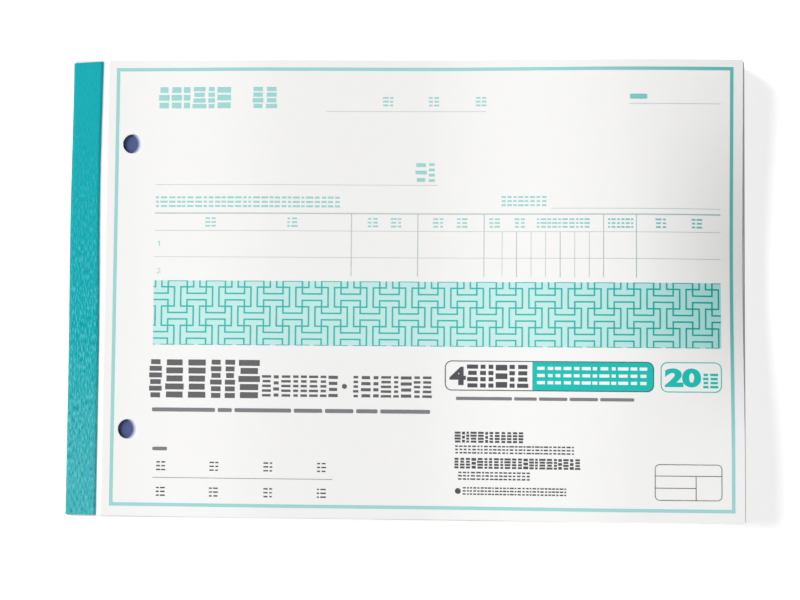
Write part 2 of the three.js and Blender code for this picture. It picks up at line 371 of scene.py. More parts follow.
def denser_ink(graph, vector):
    """How much painted shade darkens the ink towards the head of the cover's free edge, from 0 to 1."""
    x, y = graph.across_and_along(vector)
    (out_from, head_from), (out_over, head_over) = INK_SHADE_FROM, INK_SHADE_OVER
    outward = graph.ramp(x, SPINE + out_from * MM, SPINE + (out_from + out_over) * MM)
    headward = graph.ramp(y, head_from * MM, (head_from + head_over) * MM)
    return outward * headward


def ink_material(name, colour, mottle=0.05, painted_shade=0.0):
    """Offset ink, a little thinner and thicker from place to place, with painted shade near the cover's free
    edge where it is asked for.
    """
    graph = Look(name)
    vector = own_place(graph)
    grain = graph.noise(vector, 1900.0, 2.0, 0.6)
    thin = tuple(channel + (0.9 - channel) * mottle for channel in colour)
    shade = graph.mix(grain, thin, colour)
    # Painted shade: the ink darkens towards the head of the cover's free edge
    if painted_shade:
        shaded_colour = tuple(channel * share for channel, share in zip(colour, INK_SHADE_SHARES))
        shade = graph.mix(denser_ink(graph, vector) * painted_shade, shade, shaded_colour)
    return graph.coat(shade, 0.5 + grain * 0.1, MATT_SHEEN)


def tape_material(colours):
    """Crepe cloth tape: a fine weave under a wrinkled coat, with painted highlights on its raised threads and
    streaks, painted shade in its furrows and a painted sheen that makes it paler towards the foot.
    """
    graph = Look("teal_cloth_tape")
    vector = sheet_place(graph)
    across, along = graph.across_and_along(vector)
    warp = graph.maths("SINE", across * (math.tau / (TAPE_WARP_PITCH * MM)))
    weft = graph.maths("SINE", along * (math.tau / (TAPE_WEFT_PITCH * MM)))
    weave = warp * weft
    blotch = graph.noise(vector, 110.0, 4.0, 0.6)
    # The coat cracks along the tape: painted highlights on raised streaks and threads beside painted shade in
    # furrows, more so towards the foot
    streak = graph.noise(graph.scaled(vector, (1.0, 0.2, 1.0)), 3000.0, 1.0, 0.5)
    thread = graph.noise(graph.scaled(vector, (1.0, 0.24, 1.0)), 4200.0, 2.0, 0.6)
    # The first ramp is a painted sheen towards the foot; the second sets how strongly the painted highlights
    # and shade of the streaks show
    rubbed, streak_share = (graph.ramp(along, start * MM, end * MM) for start, end in (TAPE_PAINTED_SHEEN, TAPE_PAINTED_STREAKS))
    show = streak_share * (0.45 + blotch * 0.9) + 0.08
    raised = graph.ramp(streak + thread * 0.15, 0.60, 0.725)
    furrow = graph.ramp(streak + thread * 0.1, 0.50, 0.375)
    deep = graph.mix(blotch, tinted(colours.tape, 0.93), tinted(colours.tape, 1.07))
    sheened = graph.mix(rubbed * (0.55 + blotch * 0.45), deep, colours.tape_faded)
    weave_highlit = graph.mix(graph.maths("MULTIPLY", weave, 0.10, clamp=True), sheened, colours.tape_fleck)
    furrow_shaded = graph.mix(furrow * show * 0.7, weave_highlit, colours.tape_furrow)
    highlit = graph.mix(raised * show, furrow_shaded, colours.tape_fleck)
    wrinkles = weave * 0.15 + streak * 0.65 + thread * 0.2
    return graph.coat(highlit, 0.6 - raised * 0.15, MATT_SHEEN, wrinkles, 0.05)


def board_material(colours):
    """Grey back board of recycled fibre, with dark and light specks."""
    graph = Look("grey_back_board")
    vector = own_place(graph)
    cloud = graph.noise(vector, 180.0, 4.0, 0.6)
    fibre = graph.noise(graph.scaled(vector, (1.0, 3.2, 1.0)), 1500.0, 3.0, 0.7)
    speck = graph.ramp(graph.noise(vector, 2100.0, 1.0, 0.4), 0.68, 0.791)
    ground = graph.mix(cloud * 0.5 + fibre * 0.5, tinted(colours.board, 0.84), tinted(colours.board, 1.12))
    specked = graph.mix(speck * 0.5, ground, tinted(colours.board, 0.45))
    return graph.coat(specked, 0.8 + fibre * 0.12, CARD_SHEEN, cloud * 0.3 + fibre * 0.7, 0.05)


def shield_material(colours):
    """Smooth blue card with a faint grain and rubbed patches."""
    graph = Look("blue_shield_card")
    vector = own_place(graph)
    grain = graph.noise(vector, 2400.0, 2.0, 0.6)
    rub = graph.noise(graph.scaled(vector, (1.0, 0.4, 1.0)), 120.0, 4.0, 0.6)
    deep, worn = tinted(colours.shield, 0.88), tinted(colours.shield, 1.18, 0.008)
    shade = graph.mix(grain * 0.4 + rub * 0.6, deep, worn)
    return graph.coat(shade, 0.42 + rub * 0.16, CARD_SHEEN, grain, 0.012)


def wire_material():
    """Drawn stitching wire with fine lengthwise marks."""
    graph = Look("drawn_stitching_wire")
    draw = graph.noise(graph.scaled(own_place(graph), (6.0, 0.4, 0.4)), 2500.0, 2.0, 0.6)
    steel = graph.mix(draw, (0.40, 0.41, 0.43), (0.62, 0.63, 0.65))
    graph.shader.inputs["Metallic"].default_value = 1.0
    return graph.coat(steel, 0.28 + draw * 0.15, CARD_SHEEN)


def level_to_level(start, end, share):
    share = min(1.0, max(0.0, share))
    return start + (end - start) * share * share * (3.0 - 2.0 * share)


def between(points, place):
    """Height on a chain of crests and troughs that each stand level."""
    for (x0, h0), (x1, h1) in zip(points, points[1:]):
        if place <= x1:
            return level_to_level(h0, h1, (place - x0) / (x1 - x0))
    return points[-1][1]


def hump(place, centre, reach, height):
    """A smooth hump that ends this far from its centre."""
    return level_to_level(height, 0.0, abs(place - centre) / reach)


def edge_rise(y):
    """How high the cover's free edge stands at this place between foot and head."""
    return between([EDGE_FOOT, EDGE_LOWEST, EDGE_HEAD], y)


def cover_rise(x, y):
    if x <= OUTER_CREST[0]:
        return between([(TEAR_LINE, 0.0), INNER_CREST, TROUGH, OUTER_CREST], x)
    share = (x - OUTER_CREST[0]) / (COVER_END - OUTER_CREST[0])
    return OUTER_CREST[1] + (edge_rise(y) - OUTER_CREST[1]) * share * share


def stepped(low, high, x):
    """Height of a leaf that steps up beside the tape, from its stub to its place."""
    return level_to_level(low, high, (x - STEP_START) / (STEP_END - STEP_START))


def cover_top(x, y):
    return stepped(STRIP_HIGH.z / MM, COVER_LOW.z / MM + COVER_THICKNESS, x) + cover_rise(x, y)


def stations(low, high, step, fixed=()):
    """Grid lines from low to high, at most step apart, that include the fixed ones."""
    marks = sorted({low, high, *(mark for mark in fixed if low < mark < high)})
    lines = []
    for start, end in zip(marks, marks[1:]):
        count = max(1, math.ceil((end - start) / step - 1e-6))
        lines += [start + (end - start) * i / count for i in range(count)]
    return lines + [high]


def hole_marks(centre):
    steps = round(2 * HOLE_CELL / HOLE_CELL_STEP)
    return [centre - HOLE_CELL + HOLE_CELL_STEP * i for i in range(steps + 1)]


def hole_places():
    """The two file holes' places between foot and head."""
    return [FILE_HOLES_TOWARD_HEAD + side * FILE_HOLE_HALF_PITCH for side in (-1, 1)]


def leaf_grid(start, end, half_width, hole_place, x_step, y_step, extra=()):
    """Grid lines of a leaf, with a finer cell round each file hole."""
    x_marks = [*extra, *hole_marks(hole_place)]
    y_marks = [mark for place in hole_places() for mark in hole_marks(place)]
    return stations(start, end, x_step, x_marks), stations(-half_width, half_width, y_step, y_marks)


def smooth_data(mesh, name, crease=CREASE):
    """Shades a mesh smooth but for its sharp edges, and turns it into mesh data."""
    mesh.normal_update()
    for face in mesh.faces:
        face.smooth = True
    for edge in mesh.edges:
        edge.smooth = edge.calc_face_angle(0.0) < math.radians(crease)
    return mesh_data(mesh, name)


def extruded(mesh, faces):
    """Extrudes these faces, and gives the new layer's vertices."""
    made = bmesh.ops.extrude_face_region(mesh, geom=faces)
    return [item for item in made["geom"] if isinstance(item, bmesh.types.BMVert)]


def mesh_data(mesh, name):
    """Turns a mesh in the making into mesh data."""
    data = bpy.data.meshes.new(name)
    mesh.to_mesh(data)
    mesh.free()
    return data


def leaf_mesh(name, xs, ys, hole_place, top, thickness):
    """A sheet over a grid, with two round file holes, real walls and a map in metres.

    top(x, y) gives the height of the upper face, and thickness(x) how much lies under it.
    """
    mesh = bmesh.new()
    corners = {}

    def corner(x, y, side):
        key = (round(x, 5), round(y, 5), side)
        if key not in corners:
            z = top(x, y) - (thickness(x) if side == "under" else 0.0)
            corners[key] = mesh.verts.new((SPINE + x * MM, y * MM, z * MM))
        return corners[key]

    def skin(loop):
        mesh.faces.new([corner(x, y, "over") for x, y in loop])
        mesh.faces.new([corner(x, y, "under") for x, y in reversed(loop)])

    def wall(first, second):
        ends = ((first, "over"), (first, "under"), (second, "under"), (second, "over"))
        mesh.faces.new([corner(*end, side) for end, side in ends])

    centres = [(hole_place, place) for place in hole_places()]

    def in_hole_cell(x, y):
        return any(abs(x - cx) < HOLE_CELL and abs(y - cy) < HOLE_CELL for cx, cy in centres)

    for x0, x1 in zip(xs, xs[1:]):
        for y0, y1 in zip(ys, ys[1:]):
            if not in_hole_cell((x0 + x1) / 2, (y0 + y1) / 2):
                skin([(x0, y0), (x1, y0), (x1, y1), (x0, y1)])
    for y0, y1 in zip(ys, ys[1:]):
        wall((xs[-1], y0), (xs[-1], y1))
        wall((xs[0], y1), (xs[0], y0))
    for x0, x1 in zip(xs, xs[1:]):
        wall((x0, ys[0]), (x1, ys[0]))
        wall((x1, ys[-1]), (x0, ys[-1]))
    for cx, cy in centres:
        marks = hole_marks(0.0)[:-1]
        rim = [(HOLE_CELL, s) for s in marks] + [(-s, HOLE_CELL) for s in marks]
        rim += [(-HOLE_CELL, -s) for s in marks] + [(s, -HOLE_CELL) for s in marks]
        circle = []
        for dx, dy in rim:
            share = FILE_HOLE_RADIUS / math.hypot(dx, dy)
            circle.append((cx + dx * share, cy + dy * share))
        for i, (dx, dy) in enumerate(rim):
            j = (i + 1) % len(rim)
            outer = (cx + dx, cy + dy)
            outer_next = (cx + rim[j][0], cy + rim[j][1])
            skin([circle[i], outer, outer_next, circle[j]])
            wall(circle[j], circle[i])
    layer = mesh.loops.layers.uv.new("sheet")
    for face in mesh.faces:
        for loop in face.loops:
            loop[layer].uv = (loop.vert.co.x, loop.vert.co.y)
    return smooth_data(mesh, name)


def new_piece(name, data, *materials):
    """Links a piece at the origin and gives it its materials."""
    piece = bpy.data.objects.new(name, data)
    bpy.context.scene.collection.objects.link(piece)
    if piece.data.materials:
        piece.data.materials.clear()
    for material in materials:
        piece.data.materials.append(material)
    return piece


def settle(piece):
    """Turns what the piece's modifiers make into its plain mesh."""
    graph = bpy.context.evaluated_depsgraph_get()
    data = bpy.data.meshes.new_from_object(piece.evaluated_get(graph))
    data.name = piece.name
    piece.modifiers.clear()
    piece.data = data
    return piece


class InkSheet:
    """Flat shapes of one ink, in millimetres, that are laid on a surface when they are done."""

    def __init__(self):
        self.mesh = bmesh.new()

    def polygon(self, points):
        self.mesh.faces.new([self.mesh.verts.new((x, y, 0.0)) for x, y in points])

    def rect(self, x0, x1, y0, y1):
        self.polygon([(x0, y0), (x1, y0), (x1, y1), (x0, y1)])

    def rule(self, x0, x1, y, weight):
        self.rect(x0, x1, y - weight / 2, y + weight / 2)

    def upright(self, x, y0, y1, weight):
        self.rect(x - weight / 2, x + weight / 2, y0, y1)

    def rounded(self, x0, x1, y0, y1, radius, corners="all"):
        self.polygon(rounded_outline(x0, x1, y0, y1, radius, corners))

    def ring(self, x0, x1, y0, y1, radius, weight):
        """Outline of a rounded box, its weight lying inside the given edges."""
        outer = rounded_outline(x0, x1, y0, y1, radius)
        inner = rounded_outline(
            x0 + weight, x1 - weight, y0 + weight, y1 - weight, max(0.01, radius - weight))
        for i in range(len(outer)):
            j = (i + 1) % len(outer)
            self.polygon([outer[i], outer[j], inner[j], inner[i]])

    def blocks(self, draw, x0, x1, y0, y1, count, bars, weight):
        """A row of square blocks of short bars, which stands for a line of words that is left out."""
        gap = (y1 - y0) * 0.08
        side = (x1 - x0 + gap) / count - gap
        for i in range(count):
            left = x0 + (side + gap) * i
            split = draw.choice((0.34, 0.42, 0.5, 0.62))
            for low, high in ((0.0, split - 0.045), (split + 0.045, 1.0)):
                rows = bars + draw.choice((-1, 0, 0)) if bars > 3 else bars
                step = (y1 - y0) / (rows - 1 + weight)
                for row in range(rows):
                    inset = draw.uniform(0.0, 0.14) * (high - low)
                    y = y0 + step * (row + weight / 2)
                    self.rule(left + side * (low + inset), left + side * (high - inset), y, step * weight)

    def rows(self, draw, rows):
        for row in rows:
            self.blocks(draw, *row)

    def labels(self, draw, places, foot, head, half=1.5, weight=0.45):
        """One block of three bars at each place, for a word of one or two signs."""
        for place in places:
            self.blocks(draw, place - half, place + half, foot, head, 1, 3, weight)

    def word_bars(self, x0, x1, y0, y1, words):
        """Plain bars, one to a word, which stand for a line of words that is left out."""
        gap = (y1 - y0) * 0.7
        total = sum(words)
        room = (x1 - x0) - gap * (len(words) - 1)
        left = x0
        for length in words:
            width = room * length / total
            self.rounded(left, left + width, y0, y1, min(0.3 * (y1 - y0), width / 3))
            left += width + gap

    def digits(self, text, x0, x1, y0, y1, bold):
        """Plain numerals in the built-in face, drawn out to fill the box that is given."""
        curve = bpy.data.curves.new("digits", "FONT")
        curve.body = text
        curve.offset = bold
        curve.resolution_u = 5
        holder = bpy.data.objects.new("digits", curve)
        bpy.context.scene.collection.objects.link(holder)
        graph = bpy.context.evaluated_depsgraph_get()
        data = bpy.data.meshes.new_from_object(holder.evaluated_get(graph))
        low_x, high_x = (pick(v.co.x for v in data.vertices) for pick in (min, max))
        low_y, high_y = (pick(v.co.y for v in data.vertices) for pick in (min, max))
        for vertex in data.vertices:
            vertex.co.x = x0 + (vertex.co.x - low_x) / (high_x - low_x) * (x1 - x0)
            vertex.co.y = y0 + (vertex.co.y - low_y) / (high_y - low_y) * (y1 - y0)
        self.mesh.from_mesh(data)
        bpy.data.objects.remove(holder)
        bpy.data.curves.remove(curve)
        bpy.data.meshes.remove(data)

    def thin_one(self, x0, x1, y0, y1, weight):
        """The numeral one in a thin line: a stem with a short flag."""
        stem, depth = x1 - weight, y1 - y0
        self.rect(stem, x1, y0, y1)
        flag = [(x0, y1 - 0.3 * depth), (x0 + 0.7 * weight, y1 - 0.4 * depth)]
        self.polygon([*flag, (stem, y1 - 0.2 * depth), (stem, y1)])

    def take(self, maker):
        """Takes over the flat mesh of a piece, which then goes."""
        self.mesh.from_mesh(maker.data)
        bpy.data.objects.remove(maker)

    def cut_along(self, lines, axis):
        places = [vertex.co[axis] for vertex in self.mesh.verts]
        low, high = min(places), max(places)
        normal = Vector((1 - axis, axis, 0))
        for line in lines:
            if low < line < high:
                everything = self.mesh.verts[:] + self.mesh.edges[:] + self.mesh.faces[:]
                bmesh.ops.bisect_plane(
                    self.mesh, geom=everything, dist=1e-5, plane_co=normal * line, plane_no=normal)

    def lay(self, name, material, height, lift, x_lines=(), y_lines=()):
        """Cuts the shapes along the surface's grid lines, lays them on it and gives them their thickness."""
        mesh = self.mesh
        bmesh.ops.remove_doubles(mesh, verts=mesh.verts[:], dist=1e-4)
        self.cut_along(x_lines, 0)
        self.cut_along(y_lines, 1)
        for face in mesh.faces:
            if face.normal.z < 0:
                face.normal_flip()
        for vertex in mesh.verts:
            x, y = vertex.co.x, vertex.co.y
            vertex.co = (SPINE + x * MM, y * MM, (height(x, y) + lift) * MM)
        for vertex in extruded(mesh, mesh.faces[:]):
            vertex.co.z -= INK_THICKNESS * MM
        bmesh.ops.recalc_face_normals(mesh, faces=mesh.faces[:])
        return new_piece(name, smooth_data(mesh, name), material)


def rounded_outline(x0, x1, y0, y1, radius, corners="all"):
    """Corner points of a box with round corners on both ends, or only on the right."""
    points = []
    turns = [(x1 - radius, y0 + radius, -90), (x1 - radius, y1 - radius, 0)]
    turns += [(x0 + radius, y1 - radius, 90), (x0 + radius, y0 + radius, 180)]
    for index, (cx, cy, start) in enumerate(turns):
        if corners == "right" and index >= 2:
            points.append((x0, y1) if index == 2 else (x0, y0))
            continue
        for step in range(ROUND_CORNER_STEPS + 1):
            angle = math.radians(start + 90 * step / ROUND_CORNER_STEPS)
            points.append((cx + radius * math.cos(angle), cy + radius * math.sin(angle)))
    return points


# Print on the cover. Frame, form, band and badges stand between these places
FRAME_LEFT, FRAME_RIGHT = 12.8, 184.35
FRAME_FOOT, FRAME_HEAD = -60.37, 61.53
FORM_LEFT, FORM_RIGHT = 23.9, 181.3
BAND_FOOT, BAND_HEAD = -15.98, 1.98
TABLE_HEAD, TABLE_FOOT = 20.9, 3.4
TITLE_ROW_DEPTH = 4.9
TABLE_ROW_DEPTH = 7.4
COLUMN_PLACES = (79.2, 97.7, 116.1, 149.0, 158.0)
AMOUNT_START, AMOUNT_PITCH, AMOUNT_LINES = 121.1, 4.0, 7
HAIRLINE, FINE_LINE, STRONG_LINE = 0.13, 0.22, 0.34

# The print sits this much nearer to the foot of the cover than the places above and below say
PRINT_SHIFT = -0.25

# Lines to write on above the table: date, number, addressee and registration, by left, right and height
LONE_RULES = (
    (71.8, 116.5, 49.6), (156.0, FORM_RIGHT, 51.7), (FORM_LEFT, 103.2, 28.9), (134.6, FORM_RIGHT, 22.5))

# Rows of blocks, by left, right, foot, head, how many, how many bars in each and how heavy the bars are
TITLE_BLOCKS = ((24.5, 45.0, 50.5, 56.5, 3, 4, 0.74), (51.0, 58.0, 50.5, 56.5, 1, 4, 0.74))
SENTENCE_BLOCKS = (
    (96.9, 102.4, 29.9, 35.1, 1, 4, 0.5), (24.0, 76.0, 22.6, 25.6, 14, 3, 0.45),
    (120.8, 133.5, 23.1, 25.9, 4, 3, 0.45))
COLUMN_BLOCKS = ((130.6, 145.2, 17.1, 19.7, 5, 3, 0.45), (150.2, 157.2, 17.1, 19.7, 3, 3, 0.45))
HEADING_BLOCKS = (
    (23.0, 54.2, -30.7, -20.1, 3, 6, 0.74), (54.6, 75.9, -30.2, -24.3, 4, 5, 0.52),
    (80.1, 102.0, -30.2, -24.3, 4, 5, 0.52))
NOTE_BLOCKS = (
    (108.3, 127.2, -42.4, -39.4, 6, 4, 0.7), (108.4, 141.1, -45.4, -43.2, 14, 3, 0.46),
    (108.2, 142.8, -49.5, -46.6, 11, 4, 0.7), (109.3, 129.1, -52.6, -50.4, 8, 3, 0.46),
    (110.5, 139.0, -56.7, -54.6, 14, 3, 0.46))

# Numbers of the table's rows: left, right, height and weight of a one and of the others, and their feet
# on the cover
THIN_ONE, NUMERAL = (24.75, 25.4, 1.5, 0.2), (24.6, 25.8, 1.4, -0.02)
NUMERAL_FEET = (11.6, 4.0)

# Single labels: where they stand, the foot and head of their row, and their half width and bars if special
DATE_LABELS = ((89.1, 102.0, 115.1), 51.1, 53.7)
COLUMN_LABELS = ((39.7, 62.7, 85.2, 91.6, 103.3, 110.0, 119.0, 126.0, 164.7, 174.7), 17.1, 19.7)
PERIOD_LABELS = (26.7, 41.6, 56.7, 71.6)
PERIOD_ROWS = ((-50.9, -48.4, 1.3, 0.36), (-58.0, -55.5, 1.3, 0.36))
PERIOD_RULE = (24.4, 74.6, -52.9)
NUMBER_LABEL = (156.2, 161.0, 53.0, 54.4)

# Round points in the heading and before the last note: left, right, foot, head and radius
HEADING_POINT = (77.0, 78.4, -27.9, -26.5, 0.69)
NOTE_POINT = (108.5, 110.1, -56.5, -54.9, 0.79)

# Captions under the heading, under the badge and above the dates: left, right, foot, head and word lengths
CAPTIONS = (
    (24.0, 101.5, -34.6, -33.5, (9, 2, 8, 4, 4, 3, 7)), (108.6, 157.4, -30.7, -29.8, (10, 4, 5, 5, 6)),
    (24.3, 28.4, -45.4, -44.4, (1,)))

# The two badges: their common foot, head, corner radius and outline, then where each begins and ends.
# A numeral has left, right, foot, head and how much bolder than the built-in face it is
BADGE_FOOT, BADGE_HEAD, BADGE_RADIUS, BADGE_LINE = -28.1, -19.8, 1.9, 0.26
LONG_BADGE, LONG_BADGE_SPLIT, SHORT_BADGE = (105.5, 162.8), 129.6, (164.6, 181.4)
COPIES_NUMERAL, COPIES_BLOCKS = (106.8, 111.3, -26.6, -21.5, 0.04), (111.6, 128.6, -27.2, -20.9, 3, 4, 0.66)
SETS_NUMERAL, SETS_BLOCKS = (165.7, 175.7, -26.7, -21.5, 0.05), (176.2, 180.4, -26.9, -22.9, 1, 4, 0.6)
RESERVE_BLOCKS = (130.6, 161.0, -26.15, -21.35, 6, 3, 0.44)

# The empty box for a number: its sides, corner radius and outline, and the lines that part it
NUMBER_BOX, NUMBER_BOX_RADIUS, NUMBER_BOX_LINE = (163.0, 181.3, -57.6, -47.7), 1.3, 0.2
NUMBER_BOX_SPLIT, NUMBER_BOX_ROWS = 174.2, (-50.9, -54.2)

# The lattice repeats every six units both ways. Its cell holds two I shapes, of three units by five
LATTICE_PERIOD = 6
LATTICE_FEET = ((0, 2), (3, 5))
LATTICE_UNITS_HIGH = 10
LATTICE_START = -0.72


def form_rules(ink, foot, heavy=1.0):
    """Rules of the delivery form: the lines to write on, and the table down to foot."""
    for left, right, place in LONE_RULES:
        ink.rule(left, right, place, HAIRLINE * heavy)
    ink.rule(FORM_LEFT, FORM_RIGHT, TABLE_HEAD, STRONG_LINE * heavy)
    row = TABLE_HEAD - TITLE_ROW_DEPTH
    while row > foot + 1.0:
        ink.rule(FORM_LEFT, FORM_RIGHT, row, HAIRLINE * heavy)
        row -= TABLE_ROW_DEPTH
    for place in COLUMN_PLACES:
        ink.upright(place, foot, TABLE_HEAD, FINE_LINE * heavy)
    for i in range(AMOUNT_LINES):
        weight = FINE_LINE if i % 3 == 1 else HAIRLINE
        ink.upright(AMOUNT_START + AMOUNT_PITCH * i, foot, TABLE_HEAD - TITLE_ROW_DEPTH, weight * heavy)


def form_words(ink, draw):
    """Blocks in the places of the form's title, labels and sentence."""
    ink.rows(draw, TITLE_BLOCKS)
    ink.labels(draw, *DATE_LABELS)
    ink.word_bars(*NUMBER_LABEL, (1,))
    ink.rows(draw, SENTENCE_BLOCKS)
    ink.labels(draw, *COLUMN_LABELS)
    ink.rows(draw, COLUMN_BLOCKS)


def row_numeral(ink, number, foot):
    """The number of a row of the table, inside the table's left end."""
    left, right, height, weight = THIN_ONE if number == 1 else NUMERAL
    if number == 1:
        ink.thin_one(left, right, foot, foot + height, weight)
    else:
        ink.digits(str(number), left, right, foot, foot + height, weight)


def lattice_cell(unit, line):
    """One cell of the lattice: the outlines of two I shapes as short strips that never overlap."""
    walk = [(0, 0), (3, 0), (3, 1), (2, 1), (2, 4), (3, 4), (3, 5), (0, 5), (0, 4), (1, 4), (1, 1), (0, 1)]
    knots, runs = set(), set()
    for left, foot in LATTICE_FEET:
        for (x0, y0), (x1, y1) in zip(walk, walk[1:] + walk[:1]):
            steps = abs(x1 - x0) + abs(y1 - y0)
            for i in range(steps):
                x = left + x0 + (x1 - x0) * i // steps
                y = foot + y0 + (y1 - y0) * i // steps
                knots.add((x % LATTICE_PERIOD, y % LATTICE_PERIOD))
                lies = x0 != x1
                low_x = min(x, x + (x1 - x0) // steps)
                low_y = min(y, y + (y1 - y0) // steps)
                runs.add((low_x % LATTICE_PERIOD, low_y % LATTICE_PERIOD, lies))
    half = line / 2
    cell = InkSheet()
    for x, y in sorted(knots):
        cell.rect(x * unit - half, x * unit + half, y * unit - half, y * unit + half)
    for x, y, lies in sorted(runs):
        if lies:
            cell.rect(x * unit + half, (x + 1) * unit - half, y * unit - half, y * unit + half)
        else:
            cell.rect(x * unit - half, x * unit + half, y * unit + half, (y + 1) * unit - half)
    return mesh_data(cell.mesh, "lattice_cell")


def new_tree(name, **kinds):
    """A tree that takes a geometry and these inputs: its graph, the inputs' sockets and their identifiers."""
    tree = bpy.data.node_groups.new(name, "GeometryNodeTree")
    names = {}
    for label, kind in {"Geometry": "Geometry", **kinds}.items():
        made = tree.interface.new_socket(name=label, in_out="INPUT", socket_type=f"NodeSocket{kind}")
        names[label] = made.identifier
    tree.interface.new_socket(name="Geometry", in_out="OUTPUT", socket_type="NodeSocketGeometry")
    graph = Graph(tree)
    entry = graph.node("NodeGroupInput")
    return graph, {label: graph.out(entry, label) for label in names}, names


def moved(graph, geometry, **where):
    return graph.out(graph.node("GeometryNodeSetPosition", None, {"Geometry": geometry, **where}))


def copies_at(graph, points, **inputs):
    """Real copies of an instance on every point."""
    copies = graph.node("GeometryNodeInstanceOnPoints", None, {"Points": points, **inputs})
    return graph.out(graph.node("GeometryNodeRealizeInstances", None, {0: graph.out(copies)}))


def line_of(graph, count, offset):
    return graph.out(graph.node("GeometryNodeMeshLine", None, {"Count": count, "Offset": offset}))


def random_vectors(graph, low, high, seed):
    settings = {"data_type": "FLOAT_VECTOR"}
    return graph.out(graph.node("FunctionNodeRandomValue", settings, {0: low, 1: high, "Seed": seed}))


def leave(graph, geometry, material):
    """Gives the geometry its material, with which the tree ends."""
    inked = graph.node("GeometryNodeSetMaterial", None, {"Geometry": geometry, "Material": material})
    graph.node("NodeGroupOutput", None, {0: graph.out(inked)})


def lattice_tree():
    """Geometry Nodes: repeats a cell over a rectangle and trims what stands out of it."""
    graph, given, names = new_tree(
        "interlocking_lattice", Period="Float", Columns="Int", Rows="Int", Start="Float", Left="Float",
        Right="Float", Foot="Float", Head="Float", Material="Material")
    left, right, foot, head = (given[side] for side in ("Left", "Right", "Foot", "Head"))
    width = (given["Columns"] - 1.0) * given["Period"]
    depth = (given["Rows"] - 1.0) * given["Period"]
    grid = graph.node("GeometryNodeMeshGrid", None, {
        "Size X": width, "Size Y": depth, "Vertices X": given["Columns"], "Vertices Y": given["Rows"]})
    centre = graph.vector(X=given["Start"] + width * 0.5, Y=foot + depth * 0.5)
    real = copies_at(graph, moved(graph, graph.out(grid), Offset=centre), Instance=given["Geometry"])

    # Strips with no corner inside the rectangle go, and the others are pulled back to its edge
    x, y = graph.across_and_along(graph.out(graph.node("GeometryNodeInputPosition")))
    inside = (x > left) * (x < right) * (y > foot) * (y < head)
    by_corner = graph.node(
        "GeometryNodeFieldOnDomain", {"domain": "POINT", "data_type": "FLOAT"}, {0: inside})
    outside = graph.out(by_corner) < 0.01
    kept = graph.node(
        "GeometryNodeDeleteGeometry", {"domain": "FACE"}, {"Geometry": real, "Selection": outside})
    trimmed = graph.vector(
        X=graph.maths("MINIMUM", graph.maths("MAXIMUM", x, left), right),
        Y=graph.maths("MINIMUM", graph.maths("MAXIMUM", y, foot), head))
    leave(graph, moved(graph, graph.out(kept), Position=trimmed), given["Material"])
    return graph.tree, names


def stack_tree(material):
    """Geometry Nodes: lays copies of a sheet on each other, each a little out of line."""
    graph, given, names = new_tree(
        "sheet_stack", Count="Int", Pitch="Float", Stagger="Float", Skew="Float", Seed="Int")
    stagger, skew, seed = given["Stagger"], given["Skew"], given["Seed"]
    line = line_of(graph, given["Count"], graph.vector(Z=given["Pitch"]))
    least, most = graph.vector(Y=stagger * -0.7), graph.vector(X=stagger, Y=stagger * 0.7)
    shifted = moved(graph, line, Offset=random_vectors(graph, least, most, seed))
    turn = random_vectors(graph, graph.vector(Z=skew * -1.0), graph.vector(Z=skew), seed + 50.0)
    leave(graph, copies_at(graph, shifted, Instance=given["Geometry"], Rotation=turn), material)
    return graph.tree, names


def slit_tree(material):
    """Geometry Nodes: repeats one slit along the tear line."""
    graph, given, names = new_tree("perforation", Count="Int", Pitch="Float")
    line = line_of(graph, given["Count"], graph.vector(Y=given["Pitch"]))
    leave(graph, copies_at(graph, line, Instance=given["Geometry"]), material)
    return graph.tree, names


def attach(piece, tree, sockets, values):
    """Puts a node tree on a piece with its values set first, and settles the result."""
    modifier = piece.modifiers.new(tree.name, "NODES")
    modifier.node_group = tree
    for name, value in values.items():
        modifier[sockets[name]] = value
    piece.update_tag()
    return settle(piece)


def bend_line(piece):
    """Bakes the placement of a leaf into its mesh."""
    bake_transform(piece)


COVER_GRID = leaf_grid(
    STUB_START, COVER_END, COVER_HALF_WIDTH, COVER_HOLE_PLACE, 2.0, 4.0, (*STEP_MARKS, 9.9, 10.4))


class SLIPBOOK_OT_front_cover(bpy.types.Operator):
    """Makes the white card cover, from under the tape to its loose free edge"""

    bl_idname = "slipbook.front_cover"
    bl_label = "Front Cover"

    def execute(self, context):
        colours = context.scene.slip_book_colours
        card = paper_material("white_cover_card", colours.card, 0.012, 0.55)
        xs, ys = COVER_GRID
        data = leaf_mesh("cover_card", xs, ys, COVER_HOLE_PLACE, cover_top, lambda x: COVER_THICKNESS)
        cover = new_piece("cover_card", data, card)
        bend_line(cover)
        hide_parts("front_cover", "front_cover_strip")
        return {"FINISHED"}


def lay_on_cover(ink, name, material, lift=COVER_INK_LIFT):
    bmesh.ops.translate(ink.mesh, verts=ink.mesh.verts[:], vec=(0.0, PRINT_SHIFT, 0.0))
    piece = ink.lay(name, material, cover_top, lift, *COVER_GRID)
    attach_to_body(piece, "front_cover")
    return piece


